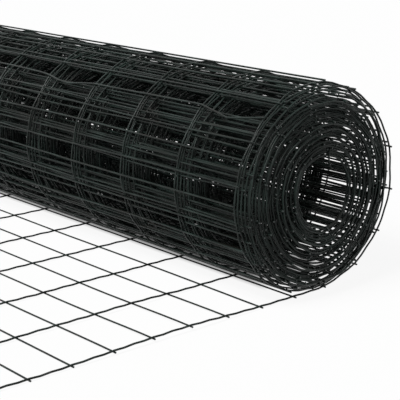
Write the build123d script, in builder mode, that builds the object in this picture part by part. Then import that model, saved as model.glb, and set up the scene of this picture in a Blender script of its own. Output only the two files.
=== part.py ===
"""Roll of coated welded wire fencing, lying on its side with its free end unrolled over the floor.

All sizes are in millimetres. X runs along the roll, Y across it and Z up. The origin is on the axis of the
roll's bore, midway between the two edges of the outermost turn. The fencing is two sets of wires welded where
they cross: line wires, which run the length of the fencing and so go round the roll, and stay wires, which run
across it and so lie along the roll. The stay wires are on the outside of the roll, which puts them under the
line wires where the fencing lies flat. The flat fencing runs in under the roll, which rests on its line wires.
"""

import math
import os

from build123d import *

# Welded fencing
fence_height = 1000.0
line_wire_spacing = 100.0
stay_wire_spacing = 50.0
wire_diameter = 2.2
line_wire_sides = 4
stay_wire_sides = 6
weld_depth = 0.4
stay_overhang = 3.0
crimp_depth = 0.8

# Wound roll, to the outside of its line wires, with a ridge at each end for about two turns
roll_radius = 118.0
bore_radius = 38.0
ridge_count = 19
ridge_groove_depth = 2.0
telescope_length = 22.0

# Free end, from its last flat stay wire beyond the roll's axis
first_stay_y = 22.5
flat_stay_count = 10
tail_length = 5.0
roll_clearance = 0.3

# Places worked out from the sizes above
wire_edge_x = fence_height / 2.0 + wire_diameter / 2.0
stay_end_x = fence_height / 2.0 + stay_overhang
line_wire_count = round(fence_height / line_wire_spacing) + 1
ridge_pitch = (roll_radius - bore_radius) / ridge_count
line_z = -roll_radius - roll_clearance - wire_diameter / 2.0
stay_z = line_z - wire_diameter + weld_depth

# Stay wires of the outermost turn, from one spacing past the free end to one spacing short of it again
stay_ring_radius = roll_radius + wire_diameter / 2.0 - weld_depth
first_wound_arc = first_stay_y + stay_wire_spacing
stay_step = math.degrees(stay_wire_spacing / stay_ring_radius)
wound_arc = 2.0 * math.pi * stay_ring_radius - first_wound_arc - stay_wire_spacing
wound_stay_count = int(wound_arc / stay_wire_spacing) + 1


def ridge_radius(ridge):
    """The middle radius of a ridge of the turned ends, ridge 0 being the outermost."""
    return roll_radius - (ridge + 0.5) * ridge_pitch


def edge_slide(ridge):
    """How far both edges of a ridge's turns have slid towards the near end, +X.

    The slide grows quickly over the outer turns and slows towards the bore, as a quarter of a sine wave.
    """
    inward = ridge / (ridge_count - 1)
    return telescope_length * math.sin(inward * math.pi / 2.0)


def end_points(crest_x, groove_x):
    """One end's half section from the barrel in to the bore: its ridges and the grooves between them."""
    points = []
    for ridge in range(ridge_count):
        points.append((crest_x + edge_slide(ridge), ridge_radius(ridge)))
        if ridge < ridge_count - 1:
            points.append((groove_x + edge_slide(ridge), ridge_radius(ridge) - ridge_pitch / 2.0))
    return points


def roll_section():
    """The roll's half section above its axis: bore, far end, barrel and near end."""
    bore_slide = edge_slide(ridge_count - 1)
    far_end = end_points(-wire_edge_x, -wire_edge_x + ridge_groove_depth)
    near_end = end_points(wire_edge_x, wire_edge_x - ridge_groove_depth)
    return [
        (wire_edge_x + bore_slide, bore_radius),
        (-wire_edge_x + bore_slide, bore_radius),
        *reversed(far_end),
        (-wire_edge_x, roll_radius),
        (wire_edge_x, roll_radius),
        *near_end,
    ]


def stay_y(stay):
    """The place of a stay wire of the free end, stay 0 being the one beyond the roll's axis."""
    return first_stay_y - stay * stay_wire_spacing


def line_wire_points():
    """A line wire's centre line, from just past stay 0 to the fencing's cut end.

    Between two stay wires it dips at both quarters and comes back up at the middle, which is its crimp.
    """
    points = [(0.0, stay_y(0) + tail_length, line_z)]
    for stay in range(flat_stay_count):
        points.append((0.0, stay_y(stay), line_z))
        if stay < flat_stay_count - 1:
            for share, dip in ((0.25, crimp_depth), (0.5, 0.0), (0.75, crimp_depth)):
                points.append((0.0, stay_y(stay + share), line_z - dip))
    points.append((0.0, stay_y(flat_stay_count - 1) - tail_length, line_z))
    return points


def wire_section(sides, flat_towards=90.0):
    """A wire's section in the open sketch, with a flat on the side at this angle and one opposite it."""
    RegularPolygon(wire_diameter / 2.0, sides, major_radius=False, rotation=flat_towards - 180.0 / sides)


# The wound part of the fencing, with the stay wires of its outermost turn along the barrel
with BuildPart() as wound_roll:
    with BuildSketch(Plane.XZ):
        with BuildLine():
            Polyline(*roll_section(), close=True)
        make_face()
    revolve(axis=Axis.X)
    with BuildSketch(Plane.YZ):
        with PolarLocations(
            stay_ring_radius,
            wound_stay_count,
            start_angle=math.degrees(first_wound_arc / stay_ring_radius) - 90.0,
            angular_range=wound_stay_count * stay_step,
        ):
            wire_section(stay_wire_sides, flat_towards=0.0)
    extrude(amount=stay_end_x, both=True)
wound_roll.part.label = "wound_roll"

# One crimped line wire of the free end
with BuildPart() as line_wire:
    with BuildLine():
        Polyline(*line_wire_points())
    with BuildSketch(Plane(origin=line_wire_points()[0], x_dir=(1, 0, 0), z_dir=(0, -1, 0))):
        wire_section(line_wire_sides)
    sweep(transition=Transition.RIGHT)

# One straight stay wire of the free end
with BuildPart() as stay_wire:
    with BuildSketch(Plane.YZ):
        wire_section(stay_wire_sides)
    extrude(amount=stay_end_x, both=True)

# The free end, with both sets of wires fused at their welds
with BuildPart() as unrolled_mesh:
    with GridLocations(line_wire_spacing, 0, line_wire_count, 1):
        add(line_wire.part)
    with Locations(*[(0, stay_y(stay), stay_z) for stay in range(flat_stay_count)]):
        add(stay_wire.part)
unrolled_mesh.part.label = "unrolled_mesh"

os.makedirs("parts", exist_ok=True)
export_step(wound_roll.part, "parts/wound_roll.step")
export_step(unrolled_mesh.part, "parts/unrolled_mesh.step")
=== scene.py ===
"""Roll of coated welded wire fencing with its free end unrolled: real wires, coating and studio stage.

The fencing is a surface of two distances. The arc runs along the fencing: 0 at the bottom of the roll, more
than 0 inwards along the winding, less than 0 out over the floor. x runs across it, which is along the roll.
Everything is in metres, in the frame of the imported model.
"""

import math

import bpy
import numpy as np
from bpy.props import FloatProperty, FloatVectorProperty, IntProperty, PointerProperty, StringProperty
from mathutils import Matrix, Vector


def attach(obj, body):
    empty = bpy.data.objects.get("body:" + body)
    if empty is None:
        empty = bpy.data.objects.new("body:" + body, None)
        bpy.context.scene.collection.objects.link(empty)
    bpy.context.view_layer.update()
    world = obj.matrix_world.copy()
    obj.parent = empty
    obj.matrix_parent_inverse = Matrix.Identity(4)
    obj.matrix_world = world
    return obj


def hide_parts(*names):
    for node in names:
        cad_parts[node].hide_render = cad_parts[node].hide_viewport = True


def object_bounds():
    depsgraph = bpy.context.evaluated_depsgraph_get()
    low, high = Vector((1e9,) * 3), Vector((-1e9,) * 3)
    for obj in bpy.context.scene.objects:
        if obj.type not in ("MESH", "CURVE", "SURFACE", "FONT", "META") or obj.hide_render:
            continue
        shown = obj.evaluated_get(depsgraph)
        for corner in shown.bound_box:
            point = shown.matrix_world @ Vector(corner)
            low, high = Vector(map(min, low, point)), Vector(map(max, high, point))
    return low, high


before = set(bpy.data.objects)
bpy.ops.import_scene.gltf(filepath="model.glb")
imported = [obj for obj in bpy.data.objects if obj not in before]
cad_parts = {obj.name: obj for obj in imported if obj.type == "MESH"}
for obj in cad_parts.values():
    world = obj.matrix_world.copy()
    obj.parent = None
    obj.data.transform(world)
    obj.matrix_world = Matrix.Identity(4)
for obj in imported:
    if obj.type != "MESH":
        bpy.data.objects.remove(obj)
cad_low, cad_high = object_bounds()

bl_info = {
    "name": "Wire fencing roll",
    "version": (1, 0, 0),
    "blender": (4, 5, 0),
    "location": "View3D > Sidebar > Fencing",
    "description": "Makes a roll of coated welded wire fencing, its finish and a studio stage",
    "category": "Object",
}

MM = 0.001
TURN = 2.0 * math.pi
BODY = "root"
FLOOR_Z = cad_low.z

# A hair's breadth, which makes sure that the last place of a range is counted in
HAIR = 1e-6


class FencingSizes(bpy.types.PropertyGroup):
    """The sizes of the welded fencing."""

    height: FloatProperty(name="Height", description="Between the two edge line wires",
                          default=1.0, unit="LENGTH")
    line_spacing: FloatProperty(name="Line wire spacing", description="Between neighbouring line wires",
                                default=0.1, unit="LENGTH")
    stay_spacing: FloatProperty(name="Stay wire spacing", description="Between neighbouring stay wires",
                                default=0.05, unit="LENGTH")
    wire_diameter: FloatProperty(name="Wire diameter", description="Across the coating",
                                 default=0.0022, precision=4, unit="LENGTH")
    core_diameter: FloatProperty(name="Core diameter", description="Of the steel inside the coating",
                                 default=0.0017, precision=4, unit="LENGTH")
    weld_depth: FloatProperty(name="Weld depth", description="How far crossing wires are pressed together",
                              default=0.0004, precision=4, unit="LENGTH")
    stay_overhang: FloatProperty(name="Stay overhang", description="Past the edge line wires, at most",
                                 default=0.003, precision=4, unit="LENGTH")
    crimp: FloatProperty(name="Crimp", description="Depth of the waves pressed into each line wire",
                         default=0.0008, precision=4, unit="LENGTH")


class WindingShape(bpy.types.PropertyGroup):
    """How the fencing is wound and laid out."""

    outer_radius: FloatProperty(name="Outer radius", description="To the outermost line wire's centre",
                                default=0.1194, precision=4, unit="LENGTH")
    inner_radius: FloatProperty(name="Inner radius", description="To the innermost line wire's centre",
                                default=0.0391, precision=4, unit="LENGTH")
    turns: IntProperty(name="Turns", description="Number of wound turns", default=36, min=2)
    first_stay: FloatProperty(name="First stay", description="Arc of the first stay wire past the bottom",
                              default=0.0225, precision=4, unit="LENGTH")
    flat_stays: IntProperty(name="Flat stays", description="Stay wires before it, on the floor", default=9)
    tail: FloatProperty(name="Tail", description="Line wire left past the last stay wire at either end",
                        default=0.005, precision=4, unit="LENGTH")
    bulge: FloatProperty(name="Bulge", description="How far the outermost turn has sprung open",
                         default=0.0108, precision=4, unit="LENGTH")
    bulge_angle: FloatProperty(name="Bulge angle", description="Where it has, from the bottom round by +Y",
                               default=math.radians(91.0), subtype="ANGLE")
    bulge_below: FloatProperty(name="Bulge below", description="How far its bulge reaches down from there",
                               default=math.radians(62.0), subtype="ANGLE")
    bulge_above: FloatProperty(name="Bulge above", description="How far its bulge reaches up from there",
                               default=math.radians(35.0), subtype="ANGLE")
    bulge_fall: FloatProperty(name="Bulge fall", description="Part of its height lost with each turn in",
                              default=0.46)
    bulge_rise: FloatProperty(name="Bulge rise", description="How much higher up each turn in bulges",
                              default=math.radians(15.0), subtype="ANGLE")
    bulge_narrowing: FloatProperty(name="Bulge narrowing", default=0.37,
                                   description="Part of its reach down lost with each turn in")
    loose_turns: FloatProperty(name="Loose turns", description="How many turns bulge before the tight ones",
                               default=1.85, min=0.1)
    gap: FloatProperty(name="Gap", description="Between the loose turns and the tight ones",
                       default=0.0103, precision=4, unit="LENGTH")
    gap_angle: FloatProperty(name="Gap angle", description="Where it is widest, from the bottom by +Y",
                             default=math.radians(70.0), subtype="ANGLE")
    gap_reach: FloatProperty(name="Gap reach", description="To either side of there",
                             default=math.radians(61.0), subtype="ANGLE")
    gap_turn: FloatProperty(name="Gap turn", description="The turn from which the gap opens", default=0.7)
    lift: FloatProperty(name="Lift", description="Of the turns over the fencing that runs out under them",
                        default=0.0012, precision=4, unit="LENGTH")
    sag: FloatProperty(name="Sag", description="Of the middle turns at the bottom of the roll",
                       default=0.003, precision=4, unit="LENGTH")
    slide: FloatProperty(name="Slide", description="Of the innermost turn towards the near end",
                         default=0.019, precision=4, unit="LENGTH")
    unevenness: FloatProperty(name="Unevenness", description="Of the gaps between turns",
                              default=0.0005, precision=4, unit="LENGTH")
    stay_drift: FloatProperty(name="Stay drift", description="Of a stay wire against the one before it",
                              default=0.0022, precision=4, unit="LENGTH")
    seed: IntProperty(name="Seed", description="Of the irregularities", default=2371)


class CoatingLook(bpy.types.PropertyGroup):
    """Colours of the coating and of the cut steel."""

    coat: StringProperty(name="Coating", description="Main colour, as sRGB hex", default="#171F1C")
    coat_light: StringProperty(name="Light coating", description="Where it is chalky, as sRGB hex",
                               default="#2B3733")
    coat_brown: StringProperty(name="Dusty coating", description="Where dust lies on it, as sRGB hex",
                               default="#25211E")
    steel: StringProperty(name="Steel", description="Of the cut core, as sRGB hex", default="#4C504F")
    roughness: FloatProperty(name="Roughness", description="Of the satin coating", default=0.28,
                             min=0.0, max=1.0)


class StageLook(bpy.types.PropertyGroup):
    """The floor, the lamps and the camera."""

    floor: StringProperty(name="Floor", description="As sRGB hex", default="#FFFFFF")
    floor_bounce: StringProperty(name="Floor bounce", description="Its colour for the light on the object",
                                 default="#707070")
    key_strength: FloatProperty(name="Key strength", description="Of the soft lamp at the front left",
                                default=3.1, min=0.0)
    fill_strength: FloatProperty(name="Fill strength", description="Of the soft lamp at the near end",
                                 default=0.3, min=0.0)
    camera_place: FloatVectorProperty(name="Camera place", description="Its place in the frame",
                                      default=(1.4577, -0.9657, 0.3542), precision=4, unit="LENGTH")
    camera_yaw: FloatProperty(name="Camera yaw", description="To the left of +Y",
                              default=math.radians(50.046), subtype="ANGLE")
    camera_pitch: FloatProperty(name="Camera pitch", description="Below the horizon",
                                default=math.radians(15.117), subtype="ANGLE")
    camera_roll: FloatProperty(name="Camera roll", description="About the line of sight",
                               default=math.radians(-0.81), subtype="ANGLE")
    focal_length: FloatProperty(name="Focal length", description="For a sensor 36 mm wide", default=113.77,
                                unit="CAMERA")


def fencing_settings(context):
    """The fencing's sizes, the winding's shape and the coating's look, as they are set in the panel."""
    scene = context.scene
    return scene.fencing_sizes, scene.winding_shape, scene.coating_look


def smooth_step(value):
    """0 below 0 and 1 above 1, with the curve 3v² − 2v³ between."""
    share = np.clip(value, 0.0, 1.0)
    return share * share * (3.0 - 2.0 * share)


def bell(off, reach):
    """Bell curve exp(−(off / reach)²): 1 in its middle, and about a third at a distance of one reach."""
    return np.exp(-(off / reach) ** 2)


def off_centre(angle, centre):
    """An angle measured from a centre, the shorter way round: from −π to π."""
    return np.mod(angle - centre + math.pi, TURN) - math.pi


class Waves:
    """A sum of sine waves over the sheet.

    Each wave has a random length between two limits, a random share of it across the sheet and a random
    phase. The value at (arc, x) is the sum of sin(arc·a + x·b + phase) over the waves, times a size.
    """

    def __init__(self, rng, count, shortest, longest, across, size):
        length = np.exp(rng.uniform(math.log(shortest), math.log(longest), count))
        self.along = TURN / length
        self.across = rng.uniform(-TURN / across, TURN / across, count)
        self.phase = rng.uniform(0.0, TURN, count)
        self.size = size / math.sqrt(count / 2.0)

    def __call__(self, arc, x):
        waves = np.sin(arc[..., None] * self.along + x[..., None] * self.across + self.phase)
        return self.size * waves.sum(axis=-1)


# Bent places of stay wires: which wound one, counted from 0, the middle and half width in x, and the depth
BENT_PLACES = (
    (9, 0.143, 0.050, 8.0 * MM),
    (9, 0.452, 0.050, 10.0 * MM),
)

# The wound stay wires that keep their even places, before the rest drift, and how evenly they are welded on
EVEN_STAYS = 18
WELDING_ERROR = 0.7 * MM

# On the floor this much is left of a stay wire's shift
FLAT_SHIFT = 0.25

# The part of its overhang that a wound stay wire has, and the part of its arch that a line wire has
WOUND_OVERHANG = (0.45, 0.75)
SLACK = (0.35, 1.15)

# Angle over which the fencing comes up off the floor
RAMP_ANGLE = math.radians(30.0)

# Turns over which the bulge rises, the least part of its reach down, and the part of a turn it ends over
RISING_TURNS = 3.0
LEAST_REACH = 0.3
LAST_LOOSE = 0.6

# Turns over which the gap opens, and over which the gap and the lift die out, the gap a little later
GAP_OPENING = 3.0
FADE_TURNS = 20.0
GAP_KEPT = 1.2

# The bottom of the roll: how wide the lift and the sag are, and the turn where the lift starts
LIFT_REACH = math.radians(38.0)
SAG_REACH = math.radians(50.0)
LIFT_START = 0.5
LIFT_LENGTH = 0.35

# Parts of the slide that the outer turns, the long step and the turns inside it make up
OUTER_SLIDE = 0.35
STEP_SLIDE = 0.40
INNER_SLIDE = 0.25
STEP_TURN = 3.0
STEP_LENGTH = 1.2
REST_TURN = 4.0

# The loose outer turns are more even than the ones inside, which begin here
INSIDE_TURN = 2.5
INSIDE_LENGTH = 3.0
OUTER_GAP_WAVES, MORE_GAP_WAVES = 0.35, 0.65
OUTER_SIDE_WAVES, MORE_SIDE_WAVES = 0.3, 0.7

# The innermost turn's centre lies off the axis, towards -Y and upwards
CENTRE_SHIFT_Y = 3.0 * MM
CENTRE_SHIFT_Z = 1.0 * MM

# The free end lies flat from here on, and its near edge is raised at one place
LIE_LENGTH = 0.06
RAISED = 3.4 * MM
RAISED_ARC, RAISED_REACH = -0.2, 0.08
RAISED_X, RAISED_WIDTH = 0.32, 0.18


class Winding:
    """The fencing's surface, as places worked out from an arc and an x."""

    def __init__(self, sizes, shape):
        self.sizes = sizes
        self.shape = shape
        self.pitch = (shape.outer_radius - shape.inner_radius) / shape.turns
        # Arc against angle, added up along the spiral in steps of half a degree
        angle = np.linspace(0.0, TURN * shape.turns, 720 * shape.turns)
        radius = self.even_radius(angle)
        step = np.hypot(np.diff(radius), 0.5 * (radius[1:] + radius[:-1]) * np.diff(angle))
        self.angle_table = angle
        self.arc_table = np.concatenate([[0.0], np.cumsum(step)])
        # Stay wires are counted from the first one past the bottom, and those on the floor are below 0
        wound_stays = int((self.arc_table[-1] - shape.first_stay) / sizes.stay_spacing) + 1
        self.stays = np.arange(-shape.flat_stays, wound_stays)
        self.line_x = np.arange(-sizes.height / 2.0, sizes.height / 2.0 + HAIR, sizes.line_spacing)
        self.draw_irregularities(np.random.default_rng(shape.seed))

    def draw_irregularities(self, rng):
        """The random parts, drawn once and always in this order, so that every wire lies on one sheet."""
        shape, count = self.shape, len(self.stays)
        self.gap_waves = Waves(rng, count=14, shortest=0.09, longest=0.6, across=0.7, size=shape.unevenness)
        self.side_waves = Waves(rng, count=12, shortest=0.15, longest=1.2, across=3.0, size=2.8 * MM)
        self.floor_waves = Waves(rng, count=6, shortest=0.15, longest=0.6, across=0.5, size=0.25 * MM)
        self.stay_waves = Waves(rng, count=10, shortest=0.5, longest=6.0, across=0.35, size=0.9 * MM)
        self.slack = rng.uniform(*SLACK, (count + 1, len(self.line_x)))
        self.stay_shift = rng.normal(0.0, WELDING_ERROR, count)
        drift = rng.normal(0.0, shape.stay_drift, count) * (self.stays > EVEN_STAYS)
        self.stay_shift += np.cumsum(drift)
        self.overhang = rng.uniform(*WOUND_OVERHANG, count)

    def even_radius(self, angle):
        """Radius of the line wires before their irregularities.

        It falls by one pitch a turn from the outer radius. The bulge and the sag add to it, and the gap and
        the lift take away from it.
        """
        turn = angle / TURN
        radius = self.shape.outer_radius - self.pitch * turn
        radius = radius + self.bulge(angle, turn) - self.gap(angle, turn)
        return radius - self.lift(angle, turn) + self.sag(angle, turn)

    def bulge(self, angle, turn):
        """How far the loose turns have sprung open.

        It is a bell curve about its own angle, which starts from nothing at the bottom of the roll. With
        each turn inside it is lower, sits higher up the side and reaches less far down, until the turns are
        tight.
        """
        shape = self.shape
        off = off_centre(angle, shape.bulge_angle + shape.bulge_rise * np.minimum(turn, RISING_TURNS))
        below = shape.bulge_below * np.clip(1.0 - shape.bulge_narrowing * turn, LEAST_REACH, 1.0)
        reach = np.where(off < 0.0, below, shape.bulge_above)
        loose = np.clip(1.0 - shape.bulge_fall * turn, 0.0, 1.0)
        loose *= 1.0 - smooth_step((turn - shape.loose_turns) / LAST_LOOSE)
        return shape.bulge * bell(off, reach) * loose * self.ramp(angle)

    def gap(self, angle, turn):
        """How far in the turns behind the loose ones lie.

        It is a bell curve lower down on the same side, which opens over a few turns and dies out inwards.
        """
        shape = self.shape
        opened = np.clip((turn - shape.gap_turn) / GAP_OPENING, 0.0, 1.0)
        kept = np.clip(GAP_KEPT - turn / FADE_TURNS, 0.0, 1.0)
        return shape.gap * bell(off_centre(angle, shape.gap_angle), shape.gap_reach) * (opened * kept)

    def lift(self, angle, turn):
        """How far up the turns lie over the fencing that runs out from under the roll.

        It is a bell curve about the bottom, which starts with the second time round and dies out inwards.
        """
        started = smooth_step((turn - LIFT_START) / LIFT_LENGTH)
        lift = self.shape.lift * bell(off_centre(angle, 0.0), LIFT_REACH) * started
        return lift * np.clip(1.0 - turn / FADE_TURNS, 0.0, 1.0)

    def sag(self, angle, turn):
        """How far down the turns lie that are closer together at the bottom.

        It is a bell curve about the bottom, times sin(π·turn / turns), which is most halfway in.
        """
        halfway = np.sin(math.pi * turn / self.shape.turns)
        return self.shape.sag * bell(off_centre(angle, 0.0), SAG_REACH) * halfway

    def ramp(self, angle):
        """0 on the floor, rising to 1 where the fencing has come up off it."""
        return smooth_step(angle / RAMP_ANGLE)

    def slide(self, turn):
        """How far a turn has slid along the roll.

        The outer three turns slide by a little each, the fourth by a long step, and the rest by little.
        """
        outer = OUTER_SLIDE * np.clip(turn / STEP_TURN, 0.0, 1.0)
        step = STEP_SLIDE * smooth_step((turn - STEP_TURN) / STEP_LENGTH)
        rest = INNER_SLIDE * np.clip((turn - REST_TURN) / (self.shape.turns - REST_TURN), 0.0, 1.0)
        return self.shape.slide * (outer + step + rest)

    def floor_lift(self, arc, x):
        """How far the free end stands up from the floor: small waves, and a bell curve at its near edge."""
        lie = smooth_step(-arc / LIE_LENGTH)
        edge = smooth_step((x - RAISED_X) / RAISED_WIDTH)
        raised = RAISED * bell(arc - RAISED_ARC, RAISED_REACH) * edge
        return lie * (np.abs(self.floor_waves(arc, x)) + raised)

    def place(self, arc, x, outward=0.0):
        """Points of the sheet, moved outwards from the line wires' centres.

        On the roll a point is (x + slide, r·sin angle, −r·cos angle), moved in y and z by the centre's
        shift times turn / turns. On the floor it is (x, arc, −r), plus a small lift.
        """
        arc, x = np.broadcast_arrays(arc, x)
        angle = np.interp(arc, self.arc_table, self.angle_table, left=0.0)
        turn = angle / TURN
        ramp = self.ramp(angle)
        inside = smooth_step((turn - INSIDE_TURN) / INSIDE_LENGTH)
        uneven = ramp * (OUTER_GAP_WAVES + MORE_GAP_WAVES * inside) * self.gap_waves(arc, x)
        radius = self.even_radius(angle) + uneven + outward
        aside = ramp * (OUTER_SIDE_WAVES + MORE_SIDE_WAVES * inside) * self.side_waves(arc, x)
        inner = turn / self.shape.turns
        along = x + self.slide(turn) + aside
        across = radius * np.sin(angle) + np.minimum(arc, 0.0) - CENTRE_SHIFT_Y * inner
        up = -radius * np.cos(angle) + self.floor_lift(arc, x) + CENTRE_SHIFT_Z * inner
        return np.stack([along, across, up], axis=-1)

    def stay_arc(self, stay, x):
        """Arc of a stay wire at x: its even place, its own shift, small waves and its bent places.

        A bent place is a tent, depth·(1 − |x − middle| / half width).
        """
        stay, x = np.broadcast_arrays(stay, x)
        even = self.shape.first_stay + stay * self.sizes.stay_spacing
        shift = self.stay_shift[stay + self.shape.flat_stays]
        wound = np.where(stay < 0, FLAT_SHIFT, 1.0)
        arc = even + wound * (shift + self.stay_waves(stay * 1.0, x))
        for bent_stay, middle, half_width, depth in BENT_PLACES:
            tent = np.clip(1.0 - np.abs(x - middle) / half_width, 0.0, 1.0)
            arc = arc + np.where(stay == bent_stay, depth * tent, 0.0)
        return arc


def colour(hex_code):
    """Linear colour of an sRGB hex code: ((v + 0.055) / 1.055)^2.4 above 0.04045, and v / 12.92 below."""
    values = [int(hex_code[i:i + 2], 16) / 255.0 for i in (1, 3, 5)]
    linear = [v / 12.92 if v <= 0.04045 else ((v + 0.055) / 1.055) ** 2.4 for v in values]
    return (*linear, 1.0)


def add_node(tree, kind, inputs=None, **settings):
    """Adds one node with its settings, and sets each input to a value or links it from a socket."""
    node = tree.nodes.new(kind)
    for name, value in settings.items():
        setattr(node, name, value)
    for name, value in (inputs or {}).items():
        if isinstance(value, bpy.types.NodeSocket):
            tree.links.new(value, node.inputs[name])
        else:
            node.inputs[name].default_value = value
    return node


def new_material(name):
    """An empty node material with its output node."""
    material = bpy.data.materials.new(name)
    material.use_nodes = True
    material.node_tree.nodes.clear()
    output = add_node(material.node_tree, "ShaderNodeOutputMaterial")
    return material, material.node_tree, output


def satin_pvc(look):
    """Green-black PVC, sintered on the wire after welding."""
    if "satin_green_black_pvc" in bpy.data.materials:
        return bpy.data.materials["satin_green_black_pvc"]
    material, tree, output = new_material("satin_green_black_pvc")
    place = add_node(tree, "ShaderNodeTexCoord").outputs["Object"]
    dusty = pvc_colour(tree, place, look)
    # The powder melts into a smooth skin, which to the eye is a thin satin line of light along each wire.
    # Its gloss changes every 6 mm. Its ripples are 1.5 mm long, drawn coarser than the real ones to show.
    gloss = add_node(tree, "ShaderNodeTexNoise", {"Vector": place, "Scale": 1.0 / 0.006, "Detail": 2.0})
    gloss_range = add_node(tree, "ShaderNodeMapRange", {
        "Value": gloss.outputs["Fac"], "To Min": look.roughness - 0.1, "To Max": look.roughness + 0.12})
    skin = add_node(tree, "ShaderNodeTexNoise", {"Vector": place, "Scale": 1.0 / 0.0015, "Detail": 1.0})
    bump = add_node(tree, "ShaderNodeBump", {
        "Height": skin.outputs["Fac"], "Strength": 0.5, "Distance": 0.00012})
    # PVC's index of refraction, with the reflection turned down to match the dark wires
    shader = add_node(tree, "ShaderNodeBsdfPrincipled", {
        "Base Color": dusty, "Roughness": gloss_range.outputs["Result"],
        "IOR": 1.53, "Specular IOR Level": 0.16, "Normal": bump.outputs["Normal"]})
    tree.links.new(shader.outputs["BSDF"], output.inputs["Surface"])
    return material


def pvc_colour(tree, place, look):
    """The PVC's colour: its own, chalky stretches of wire, and dust on what faces up."""
    # Chalky and browner stretches of wire, 30 mm and 70 mm long
    chalk = add_node(tree, "ShaderNodeTexNoise", {"Vector": place, "Scale": 1.0 / 0.03, "Detail": 3.0})
    chalk_share = add_node(tree, "ShaderNodeMapRange", {
        "Value": chalk.outputs["Fac"], "From Min": 0.42, "From Max": 0.68})
    dust = add_node(tree, "ShaderNodeTexNoise", {"Vector": place, "Scale": 1.0 / 0.07, "Detail": 2.0})
    facing = add_node(tree, "ShaderNodeSeparateXYZ", {
        "Vector": add_node(tree, "ShaderNodeNewGeometry").outputs["Normal"]})
    dust_share = add_node(tree, "ShaderNodeMapRange", {
        "Value": dust.outputs["Fac"], "From Min": 0.5, "From Max": 0.75})
    upward = add_node(tree, "ShaderNodeMapRange", {
        "Value": facing.outputs["Z"], "From Min": -0.2, "From Max": 0.9})
    settled = add_node(tree, "ShaderNodeMath", {
        0: dust_share.outputs["Result"], 1: upward.outputs["Result"]}, operation="MULTIPLY")
    tint = add_node(tree, "ShaderNodeMix", {
        "Factor": chalk_share.outputs["Result"], "A": colour(look.coat), "B": colour(look.coat_light)},
        data_type="RGBA")
    dusty = add_node(tree, "ShaderNodeMix", {
        "Factor": settled.outputs[0], "A": tint.outputs["Result"], "B": colour(look.coat_brown)},
        data_type="RGBA")
    return dusty.outputs["Result"]


def cut_steel(look):
    """Zinc-coated steel, sheared."""
    if "sheared_galvanised_steel" in bpy.data.materials:
        return bpy.data.materials["sheared_galvanised_steel"]
    material, tree, output = new_material("sheared_galvanised_steel")
    place = add_node(tree, "ShaderNodeTexCoord").outputs["Object"]
    # Shearing leaves a torn grey face: a small dull disc where the coating ends, with a 0.8 mm grain
    grain = add_node(tree, "ShaderNodeTexNoise", {"Vector": place, "Scale": 1.0 / 0.0008, "Detail": 2.0})
    rough = add_node(tree, "ShaderNodeMapRange", {
        "Value": grain.outputs["Fac"], "To Min": 0.35, "To Max": 0.6})
    shader = add_node(tree, "ShaderNodeBsdfPrincipled", {
        "Base Color": colour(look.steel), "Metallic": 1.0, "Roughness": rough.outputs["Result"]})
    tree.links.new(shader.outputs["BSDF"], output.inputs["Surface"])
    return material


# Hundreds of wires and thousands of welds, each seen a pixel or two wide, have few sides
WIRE_SIDES = 6
WELD_SIDES = 6
WELD_RADIUS = 1.25 * MM

# A line wire's points in each cell, its arch in millimetres, and how much less that is at the bore
CELL_STEPS = 8
OUTER_ARCH = 2.1
ARCH_LOSS = 1.4

# The part of its crimp that a line wire keeps when it is pulled straight
CRIMP_LEFT = 0.75

# A stay wire's points in each cell, and the part of its overhang that it has on the floor
QUARTERS = 4.0
FLAT_OVERHANG = 0.75

# The wound stay wires that are in the outer piece
OUTER_STAYS = 60

# The hanging end's upper place, its drop, its lean, its bow and its points
HANG_X, HANG_Y, HANG_Z = 0.5195, 6.5 * MM, 48.0 * MM
HANG_DROP = 24.0 * MM
HANG_LEAN_X, HANG_LEAN_Y = 1.5 * MM, 0.5 * MM
HANG_BOW = 3.0 * MM
HANG_POINTS = 13

# It is a little thinner than the other wires, and rounder because it is seen alone
HANG_RADIUS, HANG_CORE = 0.45, 0.4
HANG_SIDES = 8


def fill_mesh(name, points, faces, smooth, material_index):
    """A mesh from one array of points and a list of face arrays, one array for each number of corners."""
    mesh = bpy.data.meshes.new(name)
    corners = np.concatenate([f.ravel() for f in faces])
    counts = np.concatenate([np.full(len(f), f.shape[1]) for f in faces])
    starts = np.concatenate([[0], np.cumsum(counts)[:-1]])
    mesh.vertices.add(len(points))
    mesh.vertices.foreach_set("co", points.astype(np.float32).ravel())
    mesh.loops.add(len(corners))
    mesh.loops.foreach_set("vertex_index", corners.astype(np.int32))
    mesh.polygons.add(len(counts))
    mesh.polygons.foreach_set("loop_start", starts.astype(np.int32))
    mesh.polygons.foreach_set("material_index", material_index.astype(np.int32))
    mesh.update(calc_edges=True)
    mesh.polygons.foreach_set("use_smooth", smooth)
    mesh.update()
    return mesh


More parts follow.
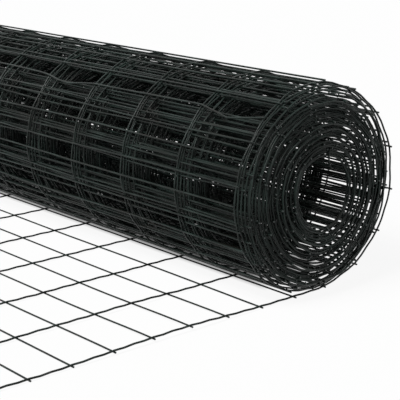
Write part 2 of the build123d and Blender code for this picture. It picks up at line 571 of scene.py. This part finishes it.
def tubes(name, paths, hint, radius, core_radius, sides):
    """Round wires along paths, with closed ends that show the steel core.

    A point of a tube is path + radius·(cos a·first + sin a·second). first is the hint made square to the
    path's direction, second is direction × first, and a goes round in equal steps. Each end has a flat ring
    of coating round a disc of steel.
    """
    wires, steps = paths.shape[:2]
    ahead = np.gradient(paths, axis=1)
    ahead /= np.linalg.norm(ahead, axis=-1, keepdims=True)
    hints = np.broadcast_to(np.array(hint), paths.shape)
    first = hints - (hints * ahead).sum(axis=-1, keepdims=True) * ahead
    first /= np.linalg.norm(first, axis=-1, keepdims=True)
    second = np.cross(ahead, first)
    angle = TURN * np.arange(sides) / sides
    spoke = np.cos(angle)[:, None] * first[:, :, None, :] + np.sin(angle)[:, None] * second[:, :, None, :]
    skin = paths[:, :, None, :] + radius * spoke
    cores = paths[:, [0, -1], None, :] + core_radius * spoke[:, [0, -1]]
    points = np.concatenate([skin.reshape(-1, 3), cores.reshape(-1, 3)])

    # The skin's quads, from one ring of points to the next
    index = np.arange(wires * steps * sides).reshape(wires, steps, sides)
    beside = np.roll(index, -1, axis=2)
    quads = np.stack([index[:, :-1], beside[:, :-1], beside[:, 1:], index[:, 1:]], axis=-1)

    # The rings and discs of the ends, turned round at the start so that they face outwards
    core = wires * steps * sides + np.arange(wires * 2 * sides).reshape(wires, 2, sides)
    rings = np.stack([index[:, [0, -1]], beside[:, [0, -1]], np.roll(core, -1, axis=2), core], axis=-1)
    rings[:, 0] = rings[:, 0, :, ::-1]
    discs = core.copy()
    discs[:, 0] = discs[:, 0, ::-1]

    faces = [quads.reshape(-1, 4), rings.reshape(-1, 4), discs.reshape(-1, sides)]
    lengths = [len(f) for f in faces]
    smooth = np.repeat([True, False, False], lengths)
    material_index = np.repeat([0, 0, 1], lengths)
    return fill_mesh(name, points, faces, smooth, material_index)


def lumps(name, centres, radius, sides):
    """Small balls of few faces: rings of points at 50, 0 and −50 degrees of latitude and two poles."""
    latitude = np.radians([50.0, 0.0, -50.0])
    longitude = TURN * np.arange(sides) / sides
    ring = np.stack([
        np.cos(latitude)[:, None] * np.cos(longitude),
        np.cos(latitude)[:, None] * np.sin(longitude),
        np.broadcast_to(np.sin(latitude)[:, None], (3, sides)),
    ], axis=-1).reshape(-1, 3)
    ball = np.concatenate([ring, [[0.0, 0.0, 1.0], [0.0, 0.0, -1.0]]]) * radius
    upper = np.arange(sides)
    upper_beside = np.roll(upper, -1)
    middle, middle_beside = upper + sides, upper_beside + sides
    lower, lower_beside = middle + sides, middle_beside + sides
    quads = np.concatenate([
        np.stack([upper, middle, middle_beside, upper_beside], axis=-1),
        np.stack([middle, lower, lower_beside, middle_beside], axis=-1),
    ])
    top = np.stack([np.full(sides, 3 * sides), upper, upper_beside], axis=-1)
    base = np.stack([np.full(sides, 3 * sides + 1), lower_beside, lower], axis=-1)
    points = (centres[:, None, :] + ball[None, :, :]).reshape(-1, 3)
    shift = (np.arange(len(centres)) * len(ball))[:, None, None]
    faces = [(f[None] + shift).reshape(-1, f.shape[1]) for f in (quads, top, base)]
    count = sum(len(f) for f in faces)
    return fill_mesh(name, points, faces, np.ones(count, bool), np.zeros(count))


def add_piece(name, mesh, materials, replaced=()):
    """Puts a mesh into the scene as a piece of the object that rides on its body."""
    for material in materials:
        mesh.materials.append(material)
    piece = bpy.data.objects.new(name, mesh)
    bpy.context.scene.collection.objects.link(piece)
    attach(piece, BODY)
    if replaced:
        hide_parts(*replaced)


def add_wires(name, paths, hint, sizes, look, replaced=()):
    """A piece of whole wires along their centre lines."""
    mesh = tubes(name, paths, hint, sizes.wire_diameter / 2.0, sizes.core_diameter / 2.0, WIRE_SIDES)
    add_piece(name, mesh, (satin_pvc(look), cut_steel(look)), replaced)


class LineWires(bpy.types.Operator):
    """Make the line wires, which run along the fencing and so round the roll"""

    bl_idname = "fencing.line_wires"
    bl_label = "Line wires"

    def execute(self, context):
        sizes, shape, look = fencing_settings(context)
        winding = Winding(sizes, shape)
        # Three groups of the eleven wires, so that no piece has too many faces
        groups = {"line_wires_near": winding.line_x[7:], "line_wires_middle": winding.line_x[3:7],
                  "line_wires_far": winding.line_x[:3]}
        for name, line_x in groups.items():
            replaced = ("wound_roll", "unrolled_mesh") if name == "line_wires_near" else ()
            add_wires(name, self.paths(winding, line_x), (1.0, 0.0, 0.0), sizes, look, replaced)
        return {"FINISHED"}

    def paths(self, winding, line_x):
        """The centre lines: the sheet's points, with crimps and slack between stay wires.

        With u as the share of the way between two stay wires, the crimp moves the wire out by
        crimp·sin²(2πu), and the slack moves it in by a flat arch, slack·4u(1 − u).
        """
        sizes, shape = winding.sizes, winding.shape
        first, last = winding.stays[0], winding.stays[-1]
        cells = np.arange(first * CELL_STEPS, last * CELL_STEPS + 1) / CELL_STEPS
        arc = shape.first_stay + cells * sizes.stay_spacing
        arc = np.concatenate([[arc[0] - shape.tail], arc, [arc[-1] + shape.tail]])
        cells = np.concatenate([[cells[0]], cells, [cells[-1]]])
        share = cells - np.floor(cells)
        angle = np.interp(arc, winding.arc_table, winding.angle_table, left=0.0)
        inner = angle / (TURN * shape.turns)
        crimp = CRIMP_LEFT * sizes.crimp * np.sin(TURN * share) ** 2
        arch = 4.0 * share * (1.0 - share) * winding.ramp(angle) * (OUTER_ARCH - ARCH_LOSS * inner) * MM
        column = np.searchsorted(winding.line_x, line_x - HAIR)
        row = np.floor(cells).astype(int) + shape.flat_stays
        slack = winding.slack[row][:, column].T
        outward = crimp[None, :] - arch[None, :] * slack
        return winding.place(arc[None, :], line_x[:, None], outward)


class StayWires(bpy.types.Operator):
    """Make the stay wires, which run across the fencing and so along the roll"""

    bl_idname = "fencing.stay_wires"
    bl_label = "Stay wires"

    def execute(self, context):
        sizes, shape, look = fencing_settings(context)
        winding = Winding(sizes, shape)
        # A point every quarter of a cell, and one at either end
        edge = sizes.height / 2.0
        reach = edge + sizes.stay_overhang
        x = np.arange(-edge, edge + HAIR, sizes.line_spacing / QUARTERS)
        x = np.concatenate([[-reach], x, [reach]])
        inside = np.clip(x, -edge, edge)
        outward = sizes.wire_diameter - sizes.weld_depth
        flat, outer = winding.stays < 0, winding.stays < OUTER_STAYS
        groups = {"stay_wires_flat": winding.stays[flat], "stay_wires_outer": winding.stays[~flat & outer],
                  "stay_wires_inner": winding.stays[~outer]}
        for name, stays in groups.items():
            overhang = np.where(stays < 0, FLAT_OVERHANG, winding.overhang[stays + shape.flat_stays])
            x_here = inside + overhang[:, None] * (x - inside)
            arc = winding.stay_arc(stays[:, None], x_here)
            add_wires(name, winding.place(arc, x_here, outward), (0.0, 0.0, 1.0), sizes, look)
        return {"FINISHED"}


class Welds(bpy.types.Operator):
    """Make the small lumps of coating over the welds"""

    bl_idname = "fencing.welds"
    bl_label = "Welds"

    def execute(self, context):
        sizes, shape, look = fencing_settings(context)
        winding = Winding(sizes, shape)
        arc = winding.stay_arc(winding.stays[:, None], winding.line_x[None, :])
        between = (sizes.wire_diameter - sizes.weld_depth) / 2.0
        centres = winding.place(arc, winding.line_x[None, :], between).reshape(-1, 3)
        add_piece("welds", lumps("welds", centres, WELD_RADIUS, WELD_SIDES), (satin_pvc(look),))
        return {"FINISHED"}


class LooseEnd(bpy.types.Operator):
    """Make the short wire end that hangs into the bore at the near end"""

    bl_idname = "fencing.loose_end"
    bl_label = "Loose end"

    def execute(self, context):
        sizes, _, look = fencing_settings(context)
        # Straight down with a lean, and bowed sideways by sin(π·share)
        share = np.linspace(0.0, 1.0, HANG_POINTS)
        path = np.stack([
            HANG_X + HANG_LEAN_X * share,
            HANG_Y - HANG_BOW * np.sin(math.pi * share) + HANG_LEAN_Y * share,
            HANG_Z - HANG_DROP * share,
        ], axis=-1)[None]
        mesh = tubes("loose_end", path, (1.0, 0.0, 0.0), HANG_RADIUS * sizes.wire_diameter,
                     HANG_CORE * sizes.core_diameter, HANG_SIDES)
        add_piece("loose_end", mesh, (satin_pvc(look), cut_steel(look)))
        return {"FINISHED"}


# The paper under the roll stays in its shade: its middle in y, and where it begins to clear and is clear
SHADE_Y = 0.03
SHADE_WIDTH = (0.045, 0.065)
SHADE_LENGTH = (0.40, 0.46)

# How white the paper is to the eye in that shade and in the clear, the rest being what the lamps give
SHADE_WHITE = 0.1
CLEAR_WHITE = 0.92

# The floor, the surround's light, the lamps and the camera's sensor in millimetres
FLOOR_HALF = 20.0
SURROUND_LIGHT = 0.04
LAMP_AIM = (0.2, -0.1, 0.0)
KEY_PLACE, KEY_SPREAD = (0.15, -1.6, 1.9), math.radians(30.0)
FILL_PLACE, FILL_SPREAD = (2.4, -0.6, 0.9), math.radians(50.0)
SENSOR_WIDTH = 36.0


def seen_share(tree):
    """1 for rays that the viewer sees directly, in a reflection or through glass, and 0 for light."""
    rays = add_node(tree, "ShaderNodeLightPath")
    shiny = add_node(tree, "ShaderNodeMath", {
        0: rays.outputs["Is Camera Ray"], 1: rays.outputs["Is Glossy Ray"]}, operation="MAXIMUM")
    seen = add_node(tree, "ShaderNodeMath", {
        0: shiny.outputs[0], 1: rays.outputs["Is Transmission Ray"]}, operation="MAXIMUM")
    return seen.outputs[0]


def clear_share(tree, place):
    """How much of the paper is in the clear: little under the roll, and most of it further out."""
    split = add_node(tree, "ShaderNodeSeparateXYZ", {"Vector": place})
    shifted = add_node(tree, "ShaderNodeMath", {0: split.outputs["Y"], 1: SHADE_Y}, operation="SUBTRACT")
    beside = add_node(tree, "ShaderNodeMath", {0: shifted.outputs[0]}, operation="ABSOLUTE")
    beyond = add_node(tree, "ShaderNodeMath", {0: split.outputs["X"]}, operation="ABSOLUTE")
    clear_y = add_node(tree, "ShaderNodeMapRange", {
        "Value": beside.outputs[0], "From Min": SHADE_WIDTH[0], "From Max": SHADE_WIDTH[1],
        "To Min": SHADE_WHITE, "To Max": CLEAR_WHITE})
    clear_x = add_node(tree, "ShaderNodeMapRange", {
        "Value": beyond.outputs[0], "From Min": SHADE_LENGTH[0], "From Max": SHADE_LENGTH[1],
        "To Min": SHADE_WHITE, "To Max": CLEAR_WHITE})
    clear = add_node(tree, "ShaderNodeMath", {
        0: clear_x.outputs["Result"], 1: clear_y.outputs["Result"]}, operation="MAXIMUM")
    return clear.outputs[0]


def studio_paper(look):
    """Seamless white paper, uncoated: an even matt white that keeps a part of the shadows on it."""
    material, tree, output = new_material("white_studio_paper")
    place = add_node(tree, "ShaderNodeTexCoord").outputs["Object"]
    # Pressed fibres, drawn 4 mm long, which is coarser than the real ones, to show
    fibre = add_node(tree, "ShaderNodeTexNoise", {"Vector": place, "Scale": 1.0 / 0.004, "Detail": 2.0})
    bump = add_node(tree, "ShaderNodeBump", {
        "Height": fibre.outputs["Fac"], "Strength": 0.05, "Distance": 0.0002})
    # The paper is white to the eye and grey to the light that it throws back
    seen = seen_share(tree)
    shade = add_node(tree, "ShaderNodeMix", {
        "Factor": seen, "A": colour(look.floor_bounce), "B": colour(look.floor)}, data_type="RGBA")
    paper = add_node(tree, "ShaderNodeBsdfDiffuse", {
        "Color": shade.outputs["Result"], "Normal": bump.outputs["Normal"]})
    white = add_node(tree, "ShaderNodeEmission", {"Strength": 1.0})
    share = add_node(tree, "ShaderNodeMath", {0: seen, 1: clear_share(tree, place)}, operation="MULTIPLY")
    mixed = add_node(tree, "ShaderNodeMixShader", {
        0: share.outputs[0], 1: paper.outputs[0], 2: white.outputs[0]})
    tree.links.new(mixed.outputs[0], output.inputs["Surface"])
    return material


def studio_world(scene):
    """A white surround for the eye and for reflections, and a faint one for the light on the object."""
    world = bpy.data.worlds.new("white_studio")
    scene.world = world
    world.use_nodes = True
    tree = world.node_tree
    tree.nodes.clear()
    strength = add_node(tree, "ShaderNodeMapRange", {
        "Value": seen_share(tree), "To Min": SURROUND_LIGHT, "To Max": 1.0})
    surround = add_node(tree, "ShaderNodeBackground", {
        "Color": (1.0, 1.0, 1.0, 1.0), "Strength": strength.outputs["Result"]})
    output = add_node(tree, "ShaderNodeOutputWorld")
    tree.links.new(surround.outputs[0], output.inputs["Surface"])


def add_sun(name, place, spread, strength):
    """A soft lamp as far away as the sun, so that it lights the whole floor evenly."""
    lamp = bpy.data.lights.new(name, "SUN")
    lamp.angle = spread
    lamp.energy = strength
    holder = bpy.data.objects.new(name, lamp)
    bpy.context.scene.collection.objects.link(holder)
    holder.location = place
    holder.rotation_euler = (Vector(LAMP_AIM) - Vector(place)).to_track_quat("-Z", "Y").to_euler()


def add_floor(scene, look):
    """One large square of paper, level with the lowest wires."""
    mesh = bpy.data.meshes.new("floor")
    corners = [(x * FLOOR_HALF, y * FLOOR_HALF, FLOOR_Z) for x, y in ((-1, -1), (1, -1), (1, 1), (-1, 1))]
    mesh.from_pydata(corners, [], [(0, 1, 2, 3)])
    mesh.materials.append(studio_paper(look))
    floor = bpy.data.objects.new("floor", mesh)
    scene.collection.objects.link(floor)


def add_camera(scene, look):
    """The camera at the photograph's place and angle.

    Its line of sight is (−sin yaw·cos pitch, cos yaw·cos pitch, −sin pitch), and its right and up
    directions are then turned by the roll.
    """
    yaw, pitch, roll = look.camera_yaw, look.camera_pitch, look.camera_roll
    level = math.cos(pitch)
    sight = Vector((-math.sin(yaw) * level, math.cos(yaw) * level, -math.sin(pitch)))
    right = Vector((math.cos(yaw), math.sin(yaw), 0.0))
    up = right.cross(sight)
    right, up = (math.cos(roll) * right + math.sin(roll) * up,
                 math.cos(roll) * up - math.sin(roll) * right)
    lens = bpy.data.cameras.new("camera")
    lens.lens = look.focal_length
    lens.sensor_width = SENSOR_WIDTH
    camera = bpy.data.objects.new("camera", lens)
    scene.collection.objects.link(camera)
    turned = Matrix((right, up, -sight)).transposed()
    camera.matrix_world = Matrix.Translation(look.camera_place) @ turned.to_4x4()
    scene.camera = camera


class Stage(bpy.types.Operator):
    """Make the floor, the lamps, the surround and the camera"""

    bl_idname = "fencing.stage"
    bl_label = "Stage"

    def execute(self, context):
        scene, look = context.scene, context.scene.stage_look
        add_floor(scene, look)
        studio_world(scene)
        add_sun("key_lamp", KEY_PLACE, KEY_SPREAD, look.key_strength)
        add_sun("fill_lamp", FILL_PLACE, FILL_SPREAD, look.fill_strength)
        add_camera(scene, look)
        scene.view_settings.view_transform = "Standard"
        return {"FINISHED"}


class FencingPanel(bpy.types.Panel):
    """Lists the parts of the fencing roll"""

    bl_idname = "VIEW3D_PT_fencing"
    bl_label = "Wire fencing roll"
    bl_space_type = "VIEW_3D"
    bl_region_type = "UI"
    bl_category = "Fencing"

    def draw(self, context):
        for group in SETTINGS:
            settings = getattr(context.scene, group)
            box = self.layout.box()
            for name in settings.__annotations__:
                box.prop(settings, name)
        for operator in OPERATORS:
            self.layout.operator(operator.bl_idname)


SETTINGS = {"fencing_sizes": FencingSizes, "winding_shape": WindingShape, "coating_look": CoatingLook,
            "stage_look": StageLook}
OPERATORS = (LineWires, StayWires, Welds, LooseEnd, Stage)


def register():
    for name, group in SETTINGS.items():
        bpy.utils.register_class(group)
        setattr(bpy.types.Scene, name, PointerProperty(type=group))
    for operator in OPERATORS:
        bpy.utils.register_class(operator)
    bpy.utils.register_class(FencingPanel)


def unregister():
    bpy.utils.unregister_class(FencingPanel)
    for operator in reversed(OPERATORS):
        bpy.utils.unregister_class(operator)
    for name, group in reversed(SETTINGS.items()):
        delattr(bpy.types.Scene, name)
        bpy.utils.unregister_class(group)


def main():
    """Makes the whole scene."""
    register()
    bpy.ops.fencing.line_wires()
    bpy.ops.fencing.stay_wires()
    bpy.ops.fencing.welds()
    bpy.ops.fencing.loose_end()
    bpy.ops.fencing.stage()
    bpy.context.view_layer.update()


if __name__ == "__main__":
    main()
